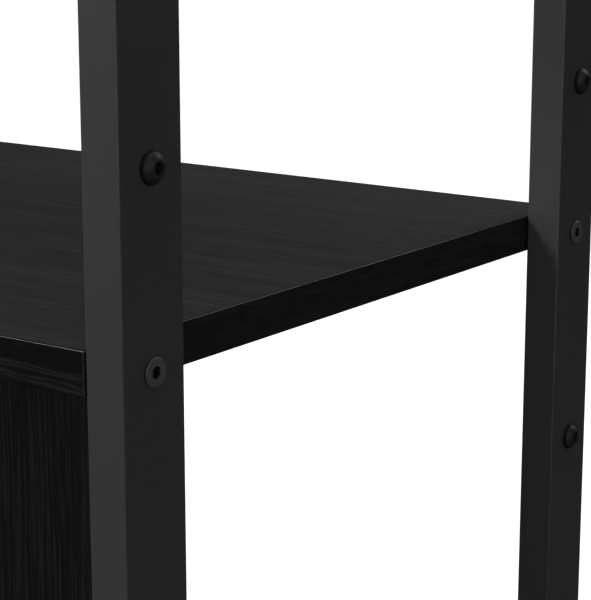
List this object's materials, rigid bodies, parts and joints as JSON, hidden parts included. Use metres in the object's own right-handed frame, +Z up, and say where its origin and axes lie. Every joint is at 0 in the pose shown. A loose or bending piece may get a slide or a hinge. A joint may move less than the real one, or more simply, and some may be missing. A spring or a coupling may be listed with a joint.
{
  "type": "bookcase",
  "caption": "Open bookcase with slim steel tube side frames, wood-grain boards, and shelves that move between bolt holes in the posts.",
  "frame": {"origin": "on the floor, at the middle of the footprint", "axes": "+X to the right seen from the front, +Y to the back, +Z up"},
  "size_m": [0.5566, 0.31, 1.2],
  "materials": {
    "coated_tube": "satin black powder coat, fine texture",
    "board_foil": "black oak-grain foil on particle board",
    "edging_foil": "black oak-grain edging",
    "black_fastener": "black oxide, satin",
    "zinc_hardware": "zinc plated",
    "black_plastic": "fine moulded texture",
    "beech": "fluted, plain"
  },
  "bodies": {
    "frame": {"left_front_post": "coated_tube", "left_back_post": "coated_tube", "right_front_post": "coated_tube", "right_back_post": "coated_tube", "left_top_rail": "coated_tube", "left_bottom_rail": "coated_tube", "left_height_nuts": "zinc_hardware", "right_top_rail": "coated_tube", "right_bottom_rail": "coated_tube", "right_height_nuts": "zinc_hardware", "bottom_board": "board_foil", "bottom_board_edging": "edging_foil", "bottom_board_bolts": "black_fastener", "bottom_board_barrel_nuts": "zinc_hardware", "top_board": "board_foil", "top_board_edging": "edging_foil", "top_board_bolts": "black_fastener", "top_board_barrel_nuts": "zinc_hardware", "lower_shelf_support_bolts": "black_fastener", "lower_shelf_spare_hole_screws": "black_fastener", "upper_shelf_support_bolts": "black_fastener", "upper_shelf_spare_hole_screws": "black_fastener", "divider": "board_foil", "divider_edging": "edging_foil", "divider_dowels": "beech", "post_top_caps": "black_plastic", "foot_inserts": "black_plastic", "wall_bracket": "coated_tube", "wall_bracket_screw": "black_fastener"},
    "lower_shelf": {"lower_shelf": "board_foil", "lower_shelf_edging": "edging_foil"},
    "upper_shelf": {"upper_shelf": "board_foil", "upper_shelf_edging": "edging_foil"},
    "left_front_foot": {"left_front_foot": "black_plastic"},
    "left_back_foot": {"left_back_foot": "black_plastic"},
    "right_front_foot": {"right_front_foot": "black_plastic"},
    "right_back_foot": {"right_back_foot": "black_plastic"}
  },
  "joints": [
    {"name": "lower_shelf_lift", "type": "slide", "parent": "frame", "child": "lower_shelf", "axis": [0, 0, 1], "range_m": [0, 0.064]},
    {"name": "upper_shelf_lift", "type": "slide", "parent": "frame", "child": "upper_shelf", "axis": [0, 0, 1], "range_m": [0, 0.064]},
    {"name": "left_front_foot_screw", "type": "slide", "parent": "frame", "child": "left_front_foot", "axis": [0, 0, -1], "range_m": [0, 0.01]},
    {"name": "left_back_foot_screw", "type": "slide", "parent": "frame", "child": "left_back_foot", "axis": [0, 0, -1], "range_m": [0, 0.01]},
    {"name": "right_front_foot_screw", "type": "slide", "parent": "frame", "child": "right_front_foot", "axis": [0, 0, -1], "range_m": [0, 0.01]},
    {"name": "right_back_foot_screw", "type": "slide", "parent": "frame", "child": "right_back_foot", "axis": [0, 0, -1], "range_m": [0, 0.01]}
  ]
}
